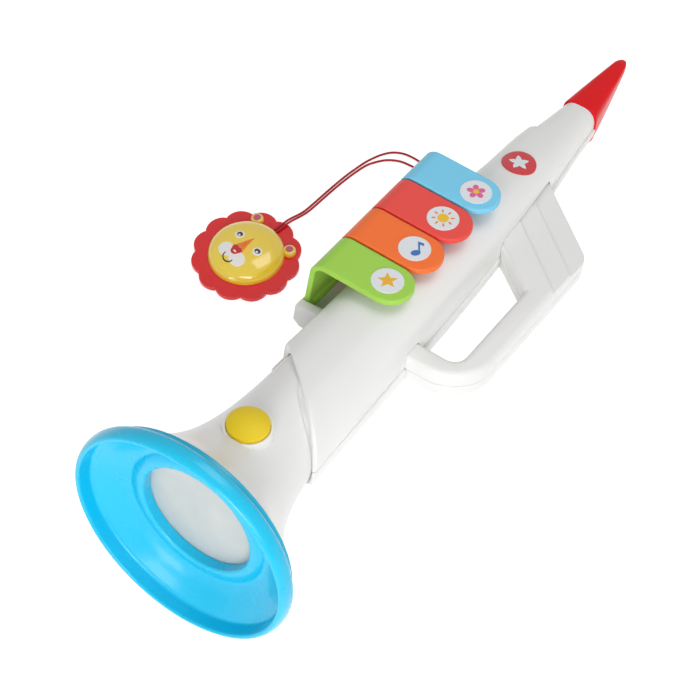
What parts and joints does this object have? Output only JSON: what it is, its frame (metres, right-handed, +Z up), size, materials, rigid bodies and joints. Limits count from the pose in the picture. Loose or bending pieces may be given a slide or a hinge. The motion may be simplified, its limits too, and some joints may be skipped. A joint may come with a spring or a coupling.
{
  "type": "toy trumpet",
  "caption": "Battery toy trumpet with a flared bell, a light window, hinged colour keys, a push button, a hand grip and a charm on a cord, lying on its bell rim and tail.",
  "frame": {"origin": "middle of the bounding box's floor, with the trumpet lying on its bell rim and the end of its body and the charm left out", "axes": "+X along the trumpet from the bell to the mouthpiece, +Z up from the floor, +Y towards the side where the keys are hinged"},
  "size_m": [0.3982, 0.1828, 0.117],
  "materials": {
    "white_abs": "satin",
    "blue_abs": "gloss",
    "milky_polycarbonate": "satin",
    "yellow_abs": "satin",
    "red_abs": "gloss",
    "green_abs": "gloss",
    "orange_abs": "gloss",
    "coral_abs": "gloss",
    "sky_abs": "gloss",
    "label_paper": "satin",
    "red_label_paper": "satin",
    "mane_abs": "gloss",
    "face_abs": "gloss",
    "dark_red_cord": "woven",
    "green_board": "matt",
    "grey_silicone": "matt",
    "clear_epoxy": "gloss",
    "black_speaker": "matt",
    "battery_sleeve": "gloss",
    "nickel_spring_steel": "bright",
    "zinc_steel": "satin",
    "black_abs": "matt"
  },
  "bodies": {
    "trumpet": {"battery_left": "battery_sleeve", "battery_link_plate": "nickel_spring_steel", "battery_right": "battery_sleeve", "battery_spring_left": "nickel_spring_steel", "battery_spring_right": "nickel_spring_steel", "battery_tray": "black_abs", "bell_flare": "blue_abs", "bell_lens": "milky_polycarbonate", "body_front_shell": "white_abs", "body_rear_shell": "white_abs", "body_screw_1": "zinc_steel", "body_screw_2": "zinc_steel", "body_screw_3": "zinc_steel", "body_screw_4": "zinc_steel", "body_screw_5": "zinc_steel", "button_dome": "grey_silicone", "charm_cord": "dark_red_cord", "charm_disc": "mane_abs", "charm_face": "face_abs", "circuit_board": "green_board", "cord_anchor": "white_abs", "handle_front_half": "white_abs", "handle_rear_half": "white_abs", "key_dome_blue": "grey_silicone", "key_dome_green": "grey_silicone", "key_dome_orange": "grey_silicone", "key_dome_red": "grey_silicone", "key_hinge_rail": "white_abs", "key_hinge_rod": "nickel_spring_steel", "led_left": "clear_epoxy", "led_right": "clear_epoxy", "led_top": "clear_epoxy", "light_board": "green_board", "mouthpiece": "red_abs", "neck_front_shell": "white_abs", "neck_rear_shell": "white_abs", "power_switch_body": "black_abs", "round_label": "red_label_paper", "speaker": "black_speaker"},
    "green_key": {"key_green": "green_abs", "key_label_green": "label_paper"},
    "orange_key": {"key_orange": "orange_abs", "key_label_orange": "label_paper"},
    "red_key": {"key_red": "coral_abs", "key_label_red": "label_paper"},
    "blue_key": {"key_blue": "sky_abs", "key_label_blue": "label_paper"},
    "button": {"horn_button": "yellow_abs"},
    "switch_knob": {"power_switch_knob": "black_abs"},
    "door": {"battery_door": "white_abs", "battery_door_screw": "zinc_steel"}
  },
  "joints": [
    {"name": "green_key_press", "type": "hinge", "parent": "trumpet", "child": "green_key", "pos_m": [-0.03141, 0.0366, 0.03767], "axis": [0.9911, 0, -0.1332], "range_deg": [0, 3.2], "stiffness_Nm_per_rad": 0.5, "springref_deg": -5.73, "deforming": ["key_dome_green"]},
    {"name": "orange_key_press", "type": "hinge", "parent": "trumpet", "child": "orange_key", "pos_m": [-0.00614, 0.0366, 0.03427], "axis": [0.9911, 0, -0.1332], "range_deg": [0, 3.2], "stiffness_Nm_per_rad": 0.5, "springref_deg": -5.73, "deforming": ["key_dome_orange"]},
    {"name": "red_key_press", "type": "hinge", "parent": "trumpet", "child": "red_key", "pos_m": [0.01913, 0.0366, 0.03088], "axis": [0.9911, 0, -0.1332], "range_deg": [0, 3.2], "stiffness_Nm_per_rad": 0.5, "springref_deg": -5.73, "deforming": ["key_dome_red"]},
    {"name": "blue_key_press", "type": "hinge", "parent": "trumpet", "child": "blue_key", "pos_m": [0.04441, 0.0366, 0.02748], "axis": [0.9911, 0, -0.1332], "range_deg": [0, 3.2], "stiffness_Nm_per_rad": 0.5, "springref_deg": -5.73, "deforming": ["key_dome_blue"]},
    {"name": "button_press", "type": "slide", "parent": "trumpet", "child": "button", "axis": [-0.1332, 0, -0.9911], "range_m": [0, 0.0018], "stiffness_N_per_m": 400, "springref_m": -0.001, "deforming": ["button_dome"]},
    {"name": "switch_slide", "type": "slide", "parent": "trumpet", "child": "switch_knob", "axis": [0.9911, 0, -0.1332], "range_m": [0, 0.004]},
    {"name": "door_lift", "type": "slide", "parent": "trumpet", "child": "door", "axis": [-0.1332, 0, -0.9911], "range_m": [0, 0.02]}
  ]
}
